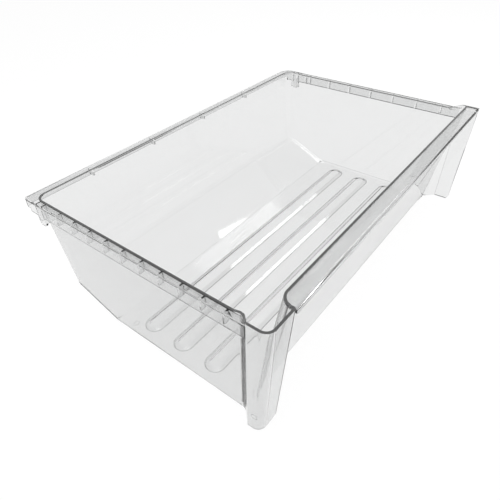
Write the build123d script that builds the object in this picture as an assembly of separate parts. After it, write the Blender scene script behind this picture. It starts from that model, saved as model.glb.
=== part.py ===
"""Clear crisper drawer: a one-piece moulded tub with hanging side rails and a pull lip.

At the left end of the lip a hollow pillar opens into the tub, at the right end the side wall
runs on as a wing. Frame: millimetres, +Z up, the pull front faces -Y, the origin is under the
middle of the tub at the level of the surface that it stands on. The moulding is split into its
functional zones, which meet face to face: no zone overlaps another.
"""

from build123d import *
import math
import os

# --- driving dimensions, mm ---
mouth_width = 460.0         # between the side walls at the rim
depth = 310.2               # overall, from the lip's front edge to the rear edge
rim_height = 139.5          # top of the rails and of the rear rim
front_rise = 4.2            # how far the front rim stands above the rails
wall = 2.5                  # every wall, flange and floor of the tub
edge_radius = 4.0           # rounding all round the underside

# walls of the tub: each leans in by its draft from its rim to its foot
side_draft = 4.8
rear_draft = 13.3           # of the rear wall, down to the ramp
rear_flange = 8.2           # rear rim, beyond the rear wall
rear_corner_radius = 12.0
ramp_run = 67.6
ramp_rise = 27.6
front_draft = 24.4
front_ledge = 14.7          # from the lip's front edge back to the front wall

# hollow pillar at the left end of the lip, and the wing at the right end
step_top = 7.5              # how far both stand outside the side wall, at the rim
step_foot = 12.0            # the same at the underside
step_inner_radius = 8.0     # the two bends where the side wall steps out
step_outer_radius = 3.0
outer_side_top = 21.0       # length of their flat outer side at the rim
outer_side_foot = 14.6
pillar_face_top = 35.2      # width of the pillar's front face at the rim
pillar_face_foot = 26.3
pillar_face_draft = 9.4
pillar_corner_radius = 9.5
tip_radius = 3.0            # between the pillar's front face and its inner side
return_radius = 11.5        # sweep of the pillar's inner side into the front wall
wing_draft = 5.3            # lean of the wing's front edge
wing_corner_radius = 6.0    # of the wing's lower front corner
wing_edge_radius = 1.0
rise_end = 24.1             # behind the lip's front edge: the rim has reached the front level
rise_run = 15.0             # length of the rim's climb to that level

# rails and rear rim
rail_reach = 6.5            # width of the rail's flange outside the side wall
skirt_thickness = 2.0
rail_skirt = 14.2           # depth of the rail's skirt below its top
rear_skirt = 9.5
rail_end_gap = 7.1          # the deep rail skirt ends this far ahead of the rear edge
rim_corner_left = 3.5
rim_corner_right = 16.0
web_thickness = 1.8
web_depth = 12.5            # webs between wall and rail skirt, below the rail's top
left_web_start = 43.7       # first web, behind the lip's front edge
left_web_pitch = 23.6
left_web_count = 10
right_web_start = 47.3
right_web_pitch = 35.2
right_web_count = 7
right_end_web = 43.9        # one more web, ahead of the rear edge
stop_end_gap = 18.1         # downward stop tab, ahead of the rear edge
stop_width = 11.0
stop_depth = 25.0           # below the rail's top
stop_corner = 3.5
gusset_depth = 8.0          # webs under the rear rim
gusset_offset = -20.5       # middle of the row of webs, from the middle of the drawer
gusset_pitch = 93.0
gusset_count = 4

# pull lip
lip_skirt = 7.0             # depth of the lip's turned-down edge, from its top
lip_radius = 2.8            # rounding of the lip's front edge
lip_drop = 1.2              # the lip lies this far below the front rim
deck_border = 11.6          # width of the raised border where the lip meets the wing

# floor ribs
rib_end_gap = 12.7          # between a rib's end and the side wall's foot
rib_width = 23.0
rib_height = 2.0
rib_slope = 4.5             # how far the rib's flank runs in
rib_first_gap = 40.0        # from the ramp's foot to the middle of the first rib
rib_pitch = 44.6
rib_count = 3

# clearances between the zones' boundaries and the corners that they stay clear of
zone_gap = 4.0
side_zone_gap = 1.2
far = 400.0

# --- worked out from the above ---
front_height = rim_height + front_rise
front_y = -depth / 2
rear_y_edge = depth / 2
mouth_half = mouth_width / 2 + wall
floor_half = mouth_half - side_draft
rear_top_y = rear_y_edge - rear_flange
ramp_top_y = rear_top_y - rear_draft
ramp_foot_y = ramp_top_y - ramp_run
ramp_slope = ramp_rise / ramp_run
rear_lean = rear_draft / (rim_height - ramp_rise)
front_top_y = front_y + front_ledge
front_foot_y = front_top_y + front_draft
outer_half_top = mouth_half + step_top
outer_half_foot = floor_half + step_foot
tip_x_top = outer_half_top - pillar_face_top
tip_x_foot = outer_half_foot - pillar_face_foot
face_foot_y = front_y + pillar_face_draft
step_y_top = front_y + outer_side_top
step_y_foot = face_foot_y + outer_side_foot
rise_end_y = front_y + rise_end
rise_start_y = rise_end_y + rise_run
rail_half = mouth_half + rail_reach
rail_low = rim_height - rail_skirt
rail_front_y = step_y_top + step_top - rail_reach
rail_rear_y = rear_y_edge - rail_end_gap
flange_low = rim_height - wall
stop_rear_y = rear_y_edge - stop_end_gap
stop_front_y = stop_rear_y - stop_width
lip_top = front_height - lip_drop
lip_underside = lip_top - wall
side_split_x = floor_half - wall - side_zone_gap
rear_split_y = ramp_top_y - rear_corner_radius
front_split_y = front_foot_y + zone_gap
pillar_split_x = tip_x_top - return_radius - zone_gap
column_x = pillar_split_x - return_radius
wing_split_x = floor_half - step_inner_radius


def between(low, high, z, z_high=front_height):
    """A size that goes steadily from its value at z = 0 to its value at z_high."""
    return low + (high - low) * z / z_high


def side_x(z):
    return between(floor_half, mouth_half, z, rim_height)


def rear_y(z):
    """Outside of the tub's rear: the ramp below its crease, the rear wall above it."""
    if z < ramp_rise:
        return ramp_foot_y + z / ramp_slope
    return ramp_top_y + (z - ramp_rise) * rear_lean


def inner_rear_y(z):
    """Inside of the tub's rear, a wall's thickness off the ramp and off the rear wall."""
    on_ramp = ramp_foot_y + z / ramp_slope - wall * math.hypot(1, 1 / ramp_slope)
    on_wall = ramp_top_y - wall + (z - ramp_rise) * rear_lean
    return min(on_ramp, on_wall)


def inner_crease_z():
    """Height at which the insides of the ramp and of the rear wall meet."""
    on_ramp = ramp_foot_y - wall * math.hypot(1, 1 / ramp_slope)
    on_wall = ramp_top_y - wall - ramp_rise * rear_lean
    return (on_wall - on_ramp) / (1 / ramp_slope - rear_lean)


def half_outline(z, rear, inset, overrun):
    """Right half of the outline at height z, from rear to front, drawn in by inset.

    Each corner is (x, y, radius, bend): bend is 1 where the outline turns outwards round the
    corner and -1 where it turns inwards. The front face stands overrun further forward.
    """
    side = side_x(z) - inset
    outer = between(outer_half_foot, outer_half_top, z) - inset
    step_y = between(step_y_foot, step_y_top, z) + inset * math.tan(math.radians(22.5))
    front = between(front_foot_y, front_top_y, z) + inset
    face = between(face_foot_y, front_y, z) + inset - overrun
    tip = between(tip_x_foot, tip_x_top, z) + inset
    return [
        (side, rear, rear_corner_radius, 1),
        (side, step_y + outer - side, step_inner_radius, -1),
        (outer, step_y, step_outer_radius, 1),
        (outer, face, pillar_corner_radius, 1),
        (tip, face, tip_radius, 1),
        (tip, front, return_radius, -1),
    ]


def loop_at(z, rear, inset):
    """Closed outline of the tub at height z. On the right it overruns the wing's front edge."""
    left = [(-x, y, radius, bend) for x, y, radius, bend in half_outline(z, rear, inset, 0)]
    corners = left + half_outline(z, rear, inset, depth / 10)[::-1]
    points = [(x, y, z) for x, y, _, _ in corners]
    radii = [max(radius - bend * inset, wall / 10) for _, _, radius, bend in corners]
    return Wire(FilletPolyline(*points, radius=radii, close=True).edges())


def stack(levels):
    """Solid through a stack of (z, rear, inset) outlines, flat between each two."""
    layers = [
        Solid.make_loft([loop_at(*lower), loop_at(*upper)], ruled=True)
        for lower, upper in zip(levels, levels[1:])
    ]
    return layers[0].fuse(*layers[1:])


def block(x0, x1, y0, y1, z0, z1):
    return Pos((x0 + x1) / 2, (y0 + y1) / 2, (z0 + z1) / 2) * Box(x1 - x0, y1 - y0, z1 - z0)


def prism_x(points):
    """Endless bar along X whose outline in the YZ plane is a polygon."""
    face = Plane.YZ.offset(-far) * make_face(Polyline(*points, close=True))
    return extrude(face, amount=2 * far, dir=(1, 0, 0))


def on_side(part, side):
    """The part as built for the right, or its mirror image for side = -1."""
    return part if side > 0 else mirror(part, about=Plane.YZ)


# --- the two bodies that make the shell: the filled outside, and the space inside ---
def outside_body():
    near = edge_radius * (1 - math.cos(math.radians(45)))
    return stack([
        (0, rear_y(0), edge_radius),
        (near, rear_y(near), near),
        (edge_radius, rear_y(edge_radius), 0),
        (ramp_rise, rear_y(ramp_rise), 0),
        (front_height, rear_y(front_height), 0),
    ])


def inside_body():
    levels = (wall, inner_crease_z(), front_height + wall)
    return stack([(z, inner_rear_y(z), wall) for z in levels])


def ahead_of(y_foot, y_top, reach=far):
    """Everything up to reach ahead of a plane that leans from y_foot at z = 0 to y_top at the front rim."""
    slope = (y_top - y_foot) / front_height
    low, high = -depth / 4, front_height + depth / 4
    at_low, at_high = y_foot + slope * low, y_foot + slope * high
    return prism_x([(at_low, low), (at_high, high), (at_high - reach, high), (at_low - reach, low)])


outside = outside_body()
inside = inside_body()
ahead = ahead_of(front_foot_y, front_top_y)
front_slab = ahead_of(front_foot_y + wall, front_top_y + wall) - ahead
right_column = block(column_x, far, -far, 0, -far, front_height)
above_rails = prism_x([
    (rise_end_y, front_height), (rise_start_y, rim_height), (far, rim_height),
    (far, front_height + far), (rise_end_y, front_height + far),
])
behind_wing = inside & ahead & right_column
right_screen = inside & front_slab & right_column
shell = outside - inside - above_rails + right_screen


# --- floor, with its raised ribs, hollow underneath ---
def floor_rib(y, z, sink=0.0):
    """A long rib with round ends and sloping flanks, standing on height z."""
    def slot(inset, height):
        length = 2 * (floor_half - rib_end_gap - inset)
        face = SlotOverall(length, rib_width - 2 * inset).faces()[0]
        return Pos(0, y, height) * face.outer_wire()

    return Solid.make_loft([slot(sink, z), slot(sink + rib_slope, z + rib_height)], ruled=True)


def floor_pan():
    pan = shell & block(-far, far, front_split_y, ramp_foot_y, -1, wall)
    for number in range(rib_count):
        y = ramp_foot_y - rib_first_gap - number * rib_pitch
        pan = pan + floor_rib(y, wall) - floor_rib(y, 0, wall / 2)
    return pan


def rear_ramp():
    return shell & block(-side_split_x, side_split_x, ramp_foot_y, far, -1, ramp_rise)


def rear_wall():
    return shell & block(-far, far, rear_split_y, far, ramp_rise, far)


def side_wall(side):
    beside_floor = block(side_split_x, far, front_split_y, rear_split_y, wall, far)
    beside_ramp = block(side_split_x, far, ramp_foot_y, far, -1, ramp_rise)
    return shell & on_side(beside_floor + beside_ramp, side)


# --- front ---
def front_wall():
    return shell & block(-pillar_split_x, pillar_split_x, -far, front_split_y, -1, far)


def left_front_pillar():
    return shell & block(-far, -pillar_split_x, -far, front_split_y, -1, far)


def right_front_wing():
    """The side wall's forward end: it steps out and runs on to the lip's front, open all round."""
    column = shell & block(pillar_split_x, far, -far, front_split_y, -1, front_height)
    foot = behind_wing.faces().sort_by(Axis.Z)[0]
    open_below = extrude(foot, amount=-2 * wall, dir=(0, 0, 1))
    inboard = ahead & block(-far, wing_split_x, -far, 0, -far, far)
    return (column - open_below - inboard) & wing_profile()


def wing_profile():
    """Endless bar along X with the wing's front edge and its rounded lower front corner."""
    line = Polyline(
        (0, 0), (front_y + wing_draft, 0), (front_y, front_height), (0, front_height), close=True
    )
    face = make_face(line)
    face = fillet(face.vertices().group_by(Axis.Y)[0].sort_by(Axis.X)[0], wing_corner_radius)
    return extrude(Plane.YZ.offset(-far) * face, amount=2 * far, dir=(1, 0, 0))


def front_pull_lip():
    """Flange ahead of the front rim with its edge turned down; its right end lies over the wing."""
    border = block(outer_half_top - deck_border, far, -far, 0, -far, far)
    left_pillar = outside & block(-far, 0, -far, 0, -far, far)
    beyond_left = block(-far, -tip_x_top, -far, 0, -far, far)
    wing_sheet = (outside - inside) & block(wing_split_x, far, -far, 0, -far, far)
    under = block(-far, far, front_y + skirt_thickness, far, -far, lip_underside)
    profile = lip_bar(lip_top) + (lip_bar(front_height) & border)
    return ((profile & ahead) - under) - beyond_left - left_pillar - wing_sheet


def lip_bar(top):
    """Solid bar in the lip's place, with its front edge rounded."""
    end_x = outer_half_top - wall / 2
    bar = block(-far, end_x, front_y, front_top_y + wall, front_height - lip_skirt, top)
    return fillet(bar.edges().filter_by(Axis.X).group_by(Axis.Z)[-1].sort_by(Axis.Y)[0], lip_radius)


# --- rails and rear rim, hung on the outside of the walls ---
def rim_plate(inset, z0, z1):
    """Plate with the outline of the rim, drawn in by inset; its rear corners are round."""
    half = rail_half - inset
    plate = block(-half, half, -far, rear_y_edge - inset, z0, z1)
    rear_left = plate.edges().filter_by(Axis.Z).group_by(Axis.Y)[-1].sort_by(Axis.X)[0]
    plate = fillet(rear_left, rim_corner_left - inset)
    rear_right = plate.edges().filter_by(Axis.Z).group_by(Axis.X)[-1].sort_by(Axis.Y)[-1]
    return fillet(rear_right, rim_corner_right - inset)


def hung_rim(low):
    """Flange with a skirt down to height low, all round the rim."""
    skirt = rim_plate(0, low, rim_height) - rim_plate(skirt_thickness, low, flange_low)
    return rim_plate(0, flange_low, rim_height) + skirt


def rail(side):
    """Flange, skirt and stop tab of one rail; side is -1 for the left and 1 for the right."""
    zone = block(side_split_x, far, rail_front_y, rail_rear_y, -1, far)
    hung = hung_rim(rail_low) & on_side(zone, side)
    return hung + on_side(stop_tab(), side) - outside


def stop_tab():
    """Small channel that hangs below the rail and stops the drawer when it is pulled out."""
    inner_x = rail_half - skirt_thickness
    low = rim_height - stop_depth
    tab = block(inner_x, rail_half, stop_front_y, stop_rear_y, low, rail_low)
    tab = fillet(tab.edges().filter_by(Axis.X).group_by(Axis.Z)[0], stop_corner)
    for y in (stop_front_y, stop_rear_y - web_thickness):
        tab = tab + block(side_split_x, inner_x, y, y + web_thickness, low + stop_corner, flange_low)
    return tab


def rail_webs(side, places):
    """Webs across the hollow of one rail, from the side wall to the skirt."""
    inner_x = rail_half - skirt_thickness
    low = rim_height - web_depth
    webs = []
    for y in places:
        web = block(side_split_x, inner_x, y - web_thickness / 2, y + web_thickness / 2, low, flange_low)
        webs.append(on_side(web, side) - outside)
    return webs


def rear_rim():
    behind_wall = block(-side_split_x, side_split_x, rear_split_y, rail_rear_y, -1, far)
    behind_rails = block(-far, far, rail_rear_y, far, -1, far)
    return (hung_rim(rim_height - rear_skirt) & (behind_wall + behind_rails)) - outside


def rear_gussets():
    low = rim_height - gusset_depth
    webs = []
    for number in range(gusset_count):
        x = gusset_offset + (number - (gusset_count - 1) / 2) * gusset_pitch
        web = block(
            x - web_thickness / 2, x + web_thickness / 2,
            rear_split_y, rear_y_edge - skirt_thickness, low, flange_low,
        )
        webs.append(web - outside)
    return webs


def write(name, part):
    pieces = part if isinstance(part, list) else [part]
    solids = [solid for piece in pieces for solid in piece.solids()]
    shape = solids[0] if len(solids) == 1 else Compound(children=solids)
    export_step(shape, f"parts/{name}.step")


def main():
    os.makedirs("parts", exist_ok=True)
    left_webs = [front_y + left_web_start + n * left_web_pitch for n in range(left_web_count)]
    right_webs = [front_y + right_web_start + n * right_web_pitch for n in range(right_web_count)]
    write("floor_pan", floor_pan())
    write("rear_ramp", rear_ramp())
    write("rear_wall", rear_wall())
    write("left_side_wall", side_wall(-1))
    write("right_side_wall", side_wall(1))
    write("front_wall", front_wall())
    write("front_pull_lip", front_pull_lip())
    write("left_front_pillar", left_front_pillar())
    write("right_front_wing", right_front_wing())
    write("left_rail", rail(-1))
    write("right_rail", rail(1))
    write("left_rail_webs", rail_webs(-1, left_webs))
    write("right_rail_webs", rail_webs(1, right_webs + [rear_y_edge - right_end_web]))
    write("rear_rim", rear_rim())
    write("rear_rim_gussets", rear_gussets())


main()
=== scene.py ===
import bmesh
import bpy
import numpy as np
from bpy.props import FloatProperty, FloatVectorProperty, IntProperty, PointerProperty
from mathutils import Matrix, Vector


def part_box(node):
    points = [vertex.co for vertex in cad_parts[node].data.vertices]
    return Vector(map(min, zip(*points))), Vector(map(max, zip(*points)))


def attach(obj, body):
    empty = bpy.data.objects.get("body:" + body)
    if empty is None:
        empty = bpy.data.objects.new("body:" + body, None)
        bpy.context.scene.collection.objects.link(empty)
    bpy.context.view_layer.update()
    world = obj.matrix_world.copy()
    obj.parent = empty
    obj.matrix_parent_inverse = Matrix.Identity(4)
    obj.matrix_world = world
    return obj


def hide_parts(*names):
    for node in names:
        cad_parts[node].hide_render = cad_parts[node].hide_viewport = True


bl_info = {
    "name": "Clear crisper drawer",
    "version": (1, 0, 0),
    "blender": (4, 5, 0),
    "location": "3D View > Sidebar > Crisper",
    "description": "Builds the clear moulded drawer and its studio around the packed frame",
    "category": "Object",
}

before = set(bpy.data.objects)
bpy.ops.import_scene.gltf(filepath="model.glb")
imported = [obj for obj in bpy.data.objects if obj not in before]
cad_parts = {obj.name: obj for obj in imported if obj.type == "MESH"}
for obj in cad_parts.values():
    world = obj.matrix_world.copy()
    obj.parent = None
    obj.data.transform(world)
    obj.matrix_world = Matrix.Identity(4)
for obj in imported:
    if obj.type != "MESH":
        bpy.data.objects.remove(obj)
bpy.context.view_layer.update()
MM = 0.001

# The moulding: heights, and how far in or back a kind of edge is found
WALL_TOP = 139.0 * MM
FLOOR_TOP, RIB_TOP = 2.5 * MM, 5.0 * MM
RIB_FRONT, RIB_REAR = -80.0 * MM, 44.0 * MM
WING_EDGE = 236.0 * MM
POST_REAR = -131.5 * MM
SKIRT_IN = 236.8 * MM
SKIRT_FOOT = (124.0 * MM, 126.5 * MM)

# How its meshes are joined and rounded
CORNER_GRID = 0.001 * MM
MERGE_REACH = 0.02 * MM
ROOM = 2.2
RIB_FOLD = 0.7
RIB_SHARE = 0.6

# Its finishes, two of them painted shade (the dark rims and the darker rib slopes), and how a face
# must lean to take one
WALL_FINISH, RIM_PAINTED_SHADE, FLANK_PAINTED_SHADE = 0, 1, 2
LEVEL_TOP = 0.9
THIN_EDGE = 0.8
FLANK_LEAN = (0.8, 0.97)

# The marks of the mould's pins
FLOOR_MARK = (-215.9 * MM, 44.2 * MM, FLOOR_TOP)
POST_MARK = (-239.77 * MM, -139.2 * MM, 25.0 * MM)
MARK_LIFT = 0.01 * MM

# The plastic
BLACK, WHITE = (0.0, 0.0, 0.0, 1.0), (1.0, 1.0, 1.0, 1.0)
FINISH_INPUTS = (("Roughness", 0.03), ("Variation", 0.02), ("Flow scale", 9.0))
FLOW_DETAIL = 2.0
UNEVEN_STRENGTH, UNEVEN_HEIGHT = 0.15, 1.0 * MM
SHADOW_TINT = (0.93, 0.93, 0.93, 1.0)

# The studio
SEEN = ("Is Camera Ray", "Is Glossy Ray", "Is Transmission Ray")
FLOOR_REACH = 3.0
FLOOR_TINT, FLOOR_ROUGHNESS = (0.96, 0.96, 0.96, 1.0), 0.9
FLOOR_WHITE = 0.88
KEY_PLACE, KEY_SIZE = (-0.5, -0.3, 1.8), 1.2
GLINT_PLACE, GLINT_SIZE = (0.97, -0.26, 1.11), 0.5
DIMMING = (0.1, 0.75)
SENSOR_WIDTH, LENS, CLIP_START = 36.0, 32.136, 0.01
VIEW_PLACE = (-0.40008, -0.26799, 0.38614)
VIEW_RIGHT, VIEW_UP = (0.60847, -0.79326, -0.0226), (0.51883, 0.37609, 0.76771)


class MouldingSettings(bpy.types.PropertyGroup):
    edge_round: FloatProperty(
        name="Edge rounding", description="Width of the rounding along the rims and free edges",
        default=0.5 * MM, min=0.0, unit="LENGTH", precision=5,
    )
    edge_steps: IntProperty(
        name="Rounding steps", description="Faces across each rounded edge",
        default=2, min=1, max=6,
    )
    rim_depth: FloatProperty(
        name="Rounded depth", description="Edges closer than this to the rim's top are rounded",
        default=5.0 * MM, unit="LENGTH", precision=4,
    )
    crease_angle: FloatProperty(
        name="Crease angle",
        description="Faces that meet at more than this angle keep a crisp edge",
        default=0.35, subtype="ANGLE",
    )


class MarkSettings(bpy.types.PropertyGroup):
    radius: FloatProperty(
        name="Mark radius",
        description="Outer radius of the round marks that the mould's pins leave",
        default=3.4 * MM, unit="LENGTH", precision=4,
    )
    breadth: FloatProperty(
        name="Ring breadth", description="Breadth of a mark's raised ring",
        default=0.9 * MM, unit="LENGTH", precision=5,
    )
    height: FloatProperty(
        name="Ring height", description="How far a mark's ring stands up",
        default=0.2 * MM, unit="LENGTH", precision=5,
    )


class PlasticSettings(bpy.types.PropertyGroup):
    tint: FloatVectorProperty(
        name="Tint", description="Share of light that passes each surface",
        default=(0.84, 0.843, 0.843), min=0.0, max=1.0, subtype="COLOR",
    )
    # Painted shade: the rims' dark base colour and their scattered share stand in for the dark look
    # that light piped through the walls' tops gives them
    rim_painted_shade: FloatVectorProperty(
        name="Rim tint", description="Share of light that passes the tops of the walls",
        default=(0.2, 0.202, 0.202), min=0.0, max=1.0, subtype="COLOR",
    )
    rim_clearness: FloatProperty(
        name="Rim clearness",
        description="Share of the rims' light that passes and isn't scattered",
        default=0.6, min=0.0, max=1.0,
    )
    # Painted shade: a darker base colour on the ribs' slopes draws the grey lines that light gives
    # them; the mould marks take it too
    flank_painted_shade: FloatVectorProperty(
        name="Rib flank tint", description="Share of light that passes the ribs' slopes",
        default=(0.78, 0.783, 0.783), min=0.0, max=1.0, subtype="COLOR",
    )
    roughness: FloatProperty(
        name="Roughness", description="Least roughness of the polished surface",
        default=0.03, min=0.0, max=1.0,
    )
    absorption: FloatProperty(
        name="Absorption", description="Light lost on a long way through the plastic, as a density",
        default=5.0, min=0.0,
    )
    ior: FloatProperty(name="IOR", description="Index of refraction", default=1.5, min=1.0)


class StageSettings(bpy.types.PropertyGroup):
    key_power: FloatProperty(
        name="Key power", description="Power of the large soft lamp",
        default=14.0, unit="POWER",
    )
    glint_power: FloatProperty(
        name="Glint power", description="Power of the smaller lamp that the floor ribs reflect",
        default=4.0, unit="POWER",
    )
    fill: FloatProperty(
        name="Surrounding light", description="Strength of the even light from all round",
        default=0.8,
    )
    ceiling: FloatProperty(
        name="Ceiling", description="Brightness overhead, as gloss and clear plastic show it",
        default=0.5,
    )
    floor_drop: FloatProperty(
        name="Floor gap", description="How far the floor lies under the feet",
        default=0.3 * MM, unit="LENGTH", precision=5,
    )


# --- shapes, worked out as whole arrays ---------------------------------------------------

def mesh_of(name, points, faces):
    mesh = bpy.data.meshes.new(name)
    mesh.from_pydata(points, [], faces)
    mesh.update()
    return mesh


def object_of(name, data):
    obj = bpy.data.objects.new(name, data)
    bpy.context.scene.collection.objects.link(obj)
    return obj


def pin_ring(centre, axis, across, settings, steps=32, turns=8):
    """A low ring: an ellipse carried round a circle.

    point = centre + (lift + (height / 2) * (1 + sin b)) * axis + reach * u(a)
    where reach = radius - (breadth / 2) * (1 - cos b)
    and u(a) = cos a * across + sin a * axis x across, for a and b from 0 to a full turn
    """
    axis, across = np.asarray(axis, float), np.asarray(across, float)
    a = np.linspace(0.0, 2 * np.pi, steps, endpoint=False)[:, None]
    b = np.linspace(0.0, 2 * np.pi, turns, endpoint=False)[None, :]
    reach = settings.radius - settings.breadth / 2 * (1 - np.cos(b))
    out = np.cos(a)[..., None] * across + np.sin(a)[..., None] * np.cross(axis, across)
    rise = MARK_LIFT + settings.height / 2 * (1 + np.sin(b))
    points = np.asarray(centre) + rise[..., None] * axis + reach[..., None] * out
    i, j = np.meshgrid(np.arange(steps), np.arange(turns), indexing="ij")
    k, n = (i + 1) % steps, (j + 1) % turns
    faces = np.stack([i * turns + j, k * turns + j, k * turns + n, i * turns + n], -1)
    return points.reshape(-1, 3), faces.reshape(-1, 4)


def finish_or_painted_shade_of(name, places, faces):
    """Which finish each face of a zone takes: the clear wall finish, or one of two painted shades.

    The rims' painted shade, a dark base colour, is for the tops of the walls and for the wing's
    thin
    front and lower edges: faces whose normal points straight enough up, forward or down. The
    flanks' painted shade, a darker base colour, is for the floor ribs' slopes, faces between the
    floor and the ribs' tops that lean a little.
    """
    one, two, three = (places[faces[:, k]] for k in range(3))
    normal = np.cross(two - one, three - one)
    normal /= np.linalg.norm(normal, axis=1)[:, None]
    middle = (one + two + three) / 3
    walled = any(part in name for part in ("wall", "pillar", "wing"))
    # painted shade mask: the tops of the walls and, on the wing, its thin front and lower edges
    rim = (normal[:, 2] > LEVEL_TOP) & (middle[:, 2] > WALL_TOP) & walled
    if name == "right_front_wing":
        rim |= (normal[:, 1] < -THIN_EDGE) & (middle[:, 0] > WING_EDGE)
        rim |= normal[:, 2] < -THIN_EDGE
    finish = np.where(rim, RIM_PAINTED_SHADE, WALL_FINISH).astype(np.int32)
    if name == "floor_pan":
        # painted shade mask: the ribs' slopes that lean a little
        painted_shade_flank = (normal[:, 2] > FLANK_LEAN[0]) & (normal[:, 2] < FLANK_LEAN[1])
        finish[painted_shade_flank & (middle[:, 2] > FLOOR_TOP) & (middle[:, 2] < RIB_TOP)] = FLANK_PAINTED_SHADE
    return finish


def merged_copy(node):
    """A copy of a zone's mesh with its loose triangles joined along their shared corners.

    Corners that fall on the same point of a fine grid become one, and a triangle that has
    two of its corners joined so is dropped.
    """
    source = node.data
    points = np.empty(len(source.vertices) * 3)
    source.vertices.foreach_get("co", points)
    points = points.reshape(-1, 3)
    corners = np.empty(len(source.loops), int)
    source.loops.foreach_get("vertex_index", corners)
    keys = np.round(points / CORNER_GRID).astype(np.int64)
    _, first, joined = np.unique(keys, axis=0, return_index=True, return_inverse=True)
    faces = joined.reshape(-1)[corners].reshape(-1, 3)
    faces = faces[(faces != np.roll(faces, -1, axis=1)).all(axis=1)]
    places = points[first]
    mesh = mesh_of(node.name + "_copy", places.tolist(), faces.tolist())
    finish = finish_or_painted_shade_of(node.name, places, faces)
    mesh.polygons.foreach_set("material_index", finish)
    for _ in (WALL_FINISH, RIM_PAINTED_SHADE, FLANK_PAINTED_SHADE):
        mesh.materials.append(None)
    return mesh


def united(name, meshes):
    """One closed skin round all the meshes: where two of them meet, no wall stays between."""
    base = object_of(name, meshes[0])
    others = bpy.data.collections.new(name + "_zones")
    bpy.context.scene.collection.children.link(others)
    added = [bpy.data.objects.new(mesh.name, mesh) for mesh in meshes[1:]]
    for obj in added:
        others.objects.link(obj)
    joint = base.modifiers.new("unite", "BOOLEAN")
    joint.operation, joint.operand_type, joint.solver = "UNION", "COLLECTION", "EXACT"
    joint.collection = others
    evaluated = base.evaluated_get(bpy.context.evaluated_depsgraph_get())
    skin = bpy.data.meshes.new_from_object(evaluated)
    skin.name = name
    base.modifiers.clear()
    base.data = skin
    for obj in added:
        bpy.data.objects.remove(obj)
    bpy.data.collections.remove(others)
    return base


def crisp(body, settings):
    """Rounds the free edges and ribs, and leaves every other edge sharp.

    weight = 1 on a convex edge sharper than the crease angle, near the rim's top, on the
    pillar or the wing, or at the foot of a rail's skirt
    weight = RIB_SHARE on a floor rib's edges that fold by more than the crease angle and
    less than RIB_FOLD
    weight = 0 elsewhere, and next to any edge shorter than ROOM times the rounding
    """
    form = bmesh.new()
    form.from_mesh(body.data)
    bmesh.ops.remove_doubles(form, verts=form.verts, dist=MERGE_REACH)
    bmesh.ops.dissolve_degenerate(form, dist=MERGE_REACH, edges=form.edges)
    bmesh.ops.triangulate(form, faces=form.faces)
    weight = form.edges.layers.float.new("bevel_weight_edge")
    low = max(vert.co.z for vert in form.verts) - settings.rim_depth
    left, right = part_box("left_front_pillar")[1][0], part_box("right_front_wing")[0][0]
    shortest = ROOM * settings.edge_round
    for edge in form.edges:
        if len(edge.link_faces) != 2:
            continue
        near = [other for vert in edge.verts for other in vert.link_edges]
        if min(other.calc_length() for other in near) < shortest:
            continue
        angle = edge.calc_face_angle_signed(0.0)
        middle = (edge.verts[0].co + edge.verts[1].co) / 2
        high = min(vert.co.z for vert in edge.verts) > low
        post = middle.y < POST_REAR and (middle.x < left or middle.x > right)
        skirt = abs(middle.x) > SKIRT_IN and SKIRT_FOOT[0] < middle.z < SKIRT_FOOT[1]
        rib = middle.z < RIB_TOP and RIB_FRONT < middle.y < RIB_REAR and abs(angle) < RIB_FOLD
        if angle > settings.crease_angle and (high or post or skirt):
            edge[weight] = 1.0
        elif abs(angle) > settings.crease_angle and rib:
            edge[weight] = RIB_SHARE
    form.to_mesh(body.data)
    form.free()
    rounding = body.modifiers.new("edge rounding", "BEVEL")
    rounding.width = settings.edge_round
    rounding.segments = settings.edge_steps
    rounding.limit_method = "WEIGHT"
    rounding.use_clamp_overlap = False
    # the rounded edges take the rims' dark painted shade too
    rounding.material = RIM_PAINTED_SHADE
    body.data.shade_smooth()
    body.data.set_sharp_from_angle(angle=settings.crease_angle)
    level = body.modifiers.new("level faces", "WEIGHTED_NORMAL")
    level.keep_sharp = True


# --- materials ----------------------------------------------------------------------------

def moulded_finish():
    """Node group, built once: a moulded surface's faint unevenness, as roughness and height.

    roughness = noise * variation + the given roughness, and height = noise
    """
    tree = bpy.data.node_groups.get("Moulded finish")
    if tree:
        return tree
    tree = bpy.data.node_groups.new("Moulded finish", "ShaderNodeTree")
    for label, default in FINISH_INPUTS:
        socket = tree.interface.new_socket(label, in_out="INPUT", socket_type="NodeSocketFloat")
        socket.default_value = default
    for label in ("Roughness", "Height"):
        tree.interface.new_socket(label, in_out="OUTPUT", socket_type="NodeSocketFloat")
    nodes, link = tree.nodes, tree.links.new
    given, result = nodes.new("NodeGroupInput"), nodes.new("NodeGroupOutput")
    place = nodes.new("ShaderNodeTexCoord")
    flow = nodes.new("ShaderNodeTexNoise")
    flow.inputs["Detail"].default_value = FLOW_DETAIL
    link(place.outputs["Object"], flow.inputs["Vector"])
    link(given.outputs["Flow scale"], flow.inputs["Scale"])
    spread = nodes.new("ShaderNodeMath")
    spread.operation = "MULTIPLY_ADD"
    link(flow.outputs["Fac"], spread.inputs[0])
    link(given.outputs["Variation"], spread.inputs[1])
    link(given.outputs["Roughness"], spread.inputs[2])
    link(spread.outputs[0], result.inputs["Roughness"])
    link(flow.outputs["Fac"], result.inputs["Height"])
    return tree


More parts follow.
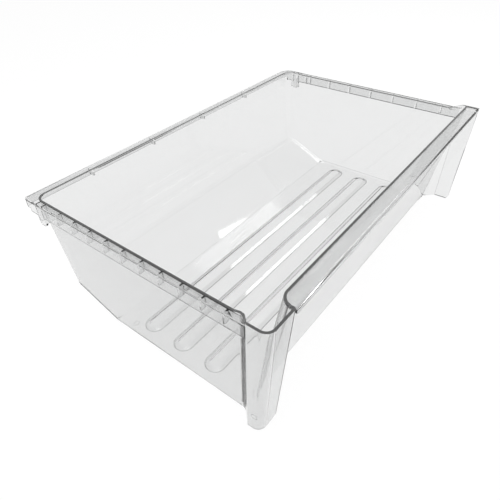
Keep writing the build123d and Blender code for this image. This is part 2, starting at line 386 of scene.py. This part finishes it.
def clear_plastic(name, tint, clearness, settings):
    """Refracting plastic that darkens with depth and lets light through to its shadow.

    clearness is the share of the light that passes, and the rest of it is scattered.
    """
    material = bpy.data.materials.new(name)
    material.use_nodes = True
    nodes, link = material.node_tree.nodes, material.node_tree.links.new
    shader = nodes["Principled BSDF"]
    output = nodes["Material Output"]
    shader.inputs["Base Color"].default_value = (*tint, 1.0)
    shader.inputs["Transmission Weight"].default_value = clearness
    shader.inputs["IOR"].default_value = settings.ior
    finish = nodes.new("ShaderNodeGroup")
    finish.node_tree = moulded_finish()
    finish.inputs["Roughness"].default_value = settings.roughness
    link(finish.outputs["Roughness"], shader.inputs["Roughness"])
    uneven = nodes.new("ShaderNodeBump")
    uneven.inputs["Strength"].default_value = UNEVEN_STRENGTH
    uneven.inputs["Distance"].default_value = UNEVEN_HEIGHT
    link(finish.outputs["Height"], uneven.inputs["Height"])
    link(uneven.outputs["Normal"], shader.inputs["Normal"])
    depth = nodes.new("ShaderNodeVolumeAbsorption")
    depth.inputs["Color"].default_value = BLACK
    depth.inputs["Density"].default_value = settings.absorption
    link(depth.outputs["Volume"], output.inputs["Volume"])
    rays = nodes.new("ShaderNodeLightPath")
    passing = nodes.new("ShaderNodeBsdfTransparent")
    passing.inputs["Color"].default_value = SHADOW_TINT
    choice = nodes.new("ShaderNodeMixShader")
    link(rays.outputs["Is Shadow Ray"], choice.inputs["Fac"])
    link(shader.outputs["BSDF"], choice.inputs[1])
    link(passing.outputs["BSDF"], choice.inputs[2])
    link(choice.outputs["Shader"], output.inputs["Surface"])
    return material


# --- the studio ---------------------------------------------------------------------------

def largest(nodes, link, values):
    """Node chain for the largest of the given values"""
    top = values[0]
    for value in values[1:]:
        either = nodes.new("ShaderNodeMath")
        either.operation = "MAXIMUM"
        link(top, either.inputs[0])
        link(value, either.inputs[1])
        top = either.outputs[0]
    return top


def lay_floor(drop):
    """A pale floor, mostly white to the rays that see it, that still takes the shadow."""
    corners = ((-1, -1), (1, -1), (1, 1), (-1, 1))
    points = [(x * FLOOR_REACH, y * FLOOR_REACH, -drop) for x, y in corners]
    floor = object_of("studio_floor", mesh_of("studio_floor", points, [(0, 1, 2, 3)]))
    material = bpy.data.materials.new("studio_floor")
    material.use_nodes = True
    nodes, link = material.node_tree.nodes, material.node_tree.links.new
    shader = nodes["Principled BSDF"]
    shader.inputs["Base Color"].default_value = FLOOR_TINT
    shader.inputs["Roughness"].default_value = FLOOR_ROUGHNESS
    shader.inputs["Specular IOR Level"].default_value = 0.0
    rays = nodes.new("ShaderNodeLightPath")
    seen = largest(nodes, link, [rays.outputs[name] for name in SEEN])
    part = nodes.new("ShaderNodeMath")
    part.operation = "MULTIPLY"
    part.inputs[1].default_value = FLOOR_WHITE
    link(seen, part.inputs[0])
    paper = nodes.new("ShaderNodeEmission")
    choice = nodes.new("ShaderNodeMixShader")
    link(part.outputs[0], choice.inputs["Fac"])
    link(shader.outputs["BSDF"], choice.inputs[1])
    link(paper.outputs["Emission"], choice.inputs[2])
    link(choice.outputs["Shader"], nodes["Material Output"].inputs["Surface"])
    floor.data.materials.append(material)


def hang_lamp(name, place, size, power):
    """A square area lamp that faces the middle of the drawer's underside"""
    light = bpy.data.lights.new(name, "AREA")
    light.shape, light.size, light.energy = "SQUARE", size, power
    lamp = object_of(name, light)
    lamp.location = place
    lamp.rotation_euler = (-lamp.location).to_track_quat("-Z", "Y").to_euler()


def light_world(scene, settings):
    """White to the camera, even light on what is lit, and to gloss and clear plastic
    white at the horizon and smoothly dimmer towards the ceiling."""
    world = bpy.data.worlds.new("white_studio")
    scene.world = world
    world.use_nodes = True
    nodes, link = world.node_tree.nodes, world.node_tree.links.new
    shade = nodes["Background"]
    shade.inputs["Color"].default_value = WHITE
    place = nodes.new("ShaderNodeTexCoord")
    parts = nodes.new("ShaderNodeSeparateXYZ")
    link(place.outputs["Generated"], parts.inputs["Vector"])
    height = nodes.new("ShaderNodeMapRange")
    height.interpolation_type = "SMOOTHSTEP"
    height.inputs["From Min"].default_value = DIMMING[0]
    height.inputs["From Max"].default_value = DIMMING[1]
    height.inputs["To Min"].default_value = 1.0
    height.inputs["To Max"].default_value = settings.ceiling
    link(parts.outputs["Z"], height.inputs["Value"])
    rays = nodes.new("ShaderNodeLightPath")
    clear = largest(nodes, link, [rays.outputs[name] for name in SEEN[1:]])
    lit = nodes.new("ShaderNodeMix")
    link(clear, lit.inputs["Factor"])
    lit.inputs["A"].default_value = settings.fill
    link(height.outputs["Result"], lit.inputs["B"])
    level = nodes.new("ShaderNodeMix")
    link(rays.outputs["Is Camera Ray"], level.inputs["Factor"])
    link(lit.outputs["Result"], level.inputs["A"])
    level.inputs["B"].default_value = 1.0
    link(level.outputs["Result"], shade.inputs["Strength"])


def place_camera(scene):
    """A camera at the photograph's place, turned by its right and up directions"""
    camera = bpy.data.cameras.new("photo_view")
    camera.sensor_width, camera.lens, camera.clip_start = SENSOR_WIDTH, LENS, CLIP_START
    view = object_of("photo_view", camera)
    right, up = Vector(VIEW_RIGHT), Vector(VIEW_UP)
    turned = Matrix((right, up, right.cross(up))).transposed().to_4x4()
    turned.translation = Vector(VIEW_PLACE)
    view.matrix_world = turned
    scene.camera = view


# --- operators and panel ------------------------------------------------------------------

class CRISPER_OT_moulding(bpy.types.Operator):
    """Joins the zones of the moulding into one seamless clear body with rounded edges"""
    bl_idname = "crisper.moulding"
    bl_label = "Moulded drawer"

    def execute(self, context):
        names = sorted(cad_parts)
        copies = [merged_copy(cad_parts[name]) for name in names]
        body = united("drawer_moulding", copies)
        crisp(body, context.scene.crisper_moulding)
        plastic = context.scene.crisper_plastic
        # the rims and the ribs' slopes are the same plastic with darker base colours: painted shade
        walls = clear_plastic("clear_plastic_walls", plastic.tint, 1.0, plastic)
        flanks = clear_plastic("clear_plastic_flanks", plastic.flank_painted_shade, 1.0, plastic)
        rims = clear_plastic(
            "clear_plastic_rims", plastic.rim_painted_shade, plastic.rim_clearness, plastic)
        body.data.materials[WALL_FINISH] = walls
        body.data.materials[RIM_PAINTED_SHADE] = rims
        body.data.materials[FLANK_PAINTED_SHADE] = flanks
        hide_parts(*names)
        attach(body, "root")
        return {"FINISHED"}


class CRISPER_OT_mould_marks(bpy.types.Operator):
    """Adds the low round marks of the mould's pins, one on the floor and one at the post's foot"""
    bl_idname = "crisper.mould_marks"
    bl_label = "Mould marks"

    def execute(self, context):
        settings = context.scene.crisper_marks
        on_floor, floor_faces = pin_ring(FLOOR_MARK, (0.0, 0.0, 1.0), (1.0, 0.0, 0.0), settings)
        on_post, post_faces = pin_ring(POST_MARK, (-1.0, 0.0, 0.0), (0.0, 1.0, 0.0), settings)
        points = np.concatenate([on_floor, on_post])
        faces = np.concatenate([floor_faces, post_faces + len(on_floor)])
        mesh = mesh_of("mould_marks", points.tolist(), faces.tolist())
        marks = object_of("mould_marks", mesh)
        marks.data.shade_smooth()
        plastic = context.scene.crisper_plastic
        # the marks take the ribs' darker painted-shade colour
        finish = clear_plastic("clear_plastic_marks", plastic.flank_painted_shade, 1.0, plastic)
        marks.data.materials.append(finish)
        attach(marks, "root")
        return {"FINISHED"}


class CRISPER_OT_stage(bpy.types.Operator):
    """Sets up the floor, the soft light, the background and the camera"""
    bl_idname = "crisper.stage"
    bl_label = "Studio and camera"

    def execute(self, context):
        scene, settings = context.scene, context.scene.crisper_stage
        scene.view_settings.view_transform = "Standard"
        lay_floor(settings.floor_drop)
        hang_lamp("soft_key", KEY_PLACE, KEY_SIZE, settings.key_power)
        hang_lamp("side_glint", GLINT_PLACE, GLINT_SIZE, settings.glint_power)
        light_world(scene, settings)
        place_camera(scene)
        return {"FINISHED"}


STEPS = (
    ("crisper.stage", ("crisper_stage",)),
    ("crisper.moulding", ("crisper_moulding", "crisper_plastic")),
    ("crisper.mould_marks", ("crisper_marks",)),
)
GROUPS = (
    ("crisper_moulding", MouldingSettings),
    ("crisper_marks", MarkSettings),
    ("crisper_plastic", PlasticSettings),
    ("crisper_stage", StageSettings),
)


class CRISPER_PT_panel(bpy.types.Panel):
    """Lists the steps and their settings"""
    bl_idname = "CRISPER_PT_panel"
    bl_label = "Clear crisper drawer"
    bl_space_type = "VIEW_3D"
    bl_region_type = "UI"
    bl_category = "Crisper"

    def draw(self, context):
        for operator, groups in STEPS:
            box = self.layout.box()
            for name in groups:
                settings = getattr(context.scene, name)
                for prop in settings.bl_rna.properties:
                    if prop.identifier not in ("rna_type", "name"):
                        box.prop(settings, prop.identifier)
            box.operator(operator)


CLASSES = (CRISPER_OT_stage, CRISPER_OT_moulding, CRISPER_OT_mould_marks, CRISPER_PT_panel)


def register():
    for name, group in GROUPS:
        bpy.utils.register_class(group)
        setattr(bpy.types.Scene, name, PointerProperty(type=group))
    for cls in CLASSES:
        bpy.utils.register_class(cls)


def unregister():
    for cls in reversed(CLASSES):
        bpy.utils.unregister_class(cls)
    for name, group in reversed(GROUPS):
        delattr(bpy.types.Scene, name)
        bpy.utils.unregister_class(group)


def main():
    register()
    bpy.ops.crisper.stage()
    bpy.ops.crisper.moulding()
    bpy.ops.crisper.mould_marks()


if __name__ == "__main__":
    main()
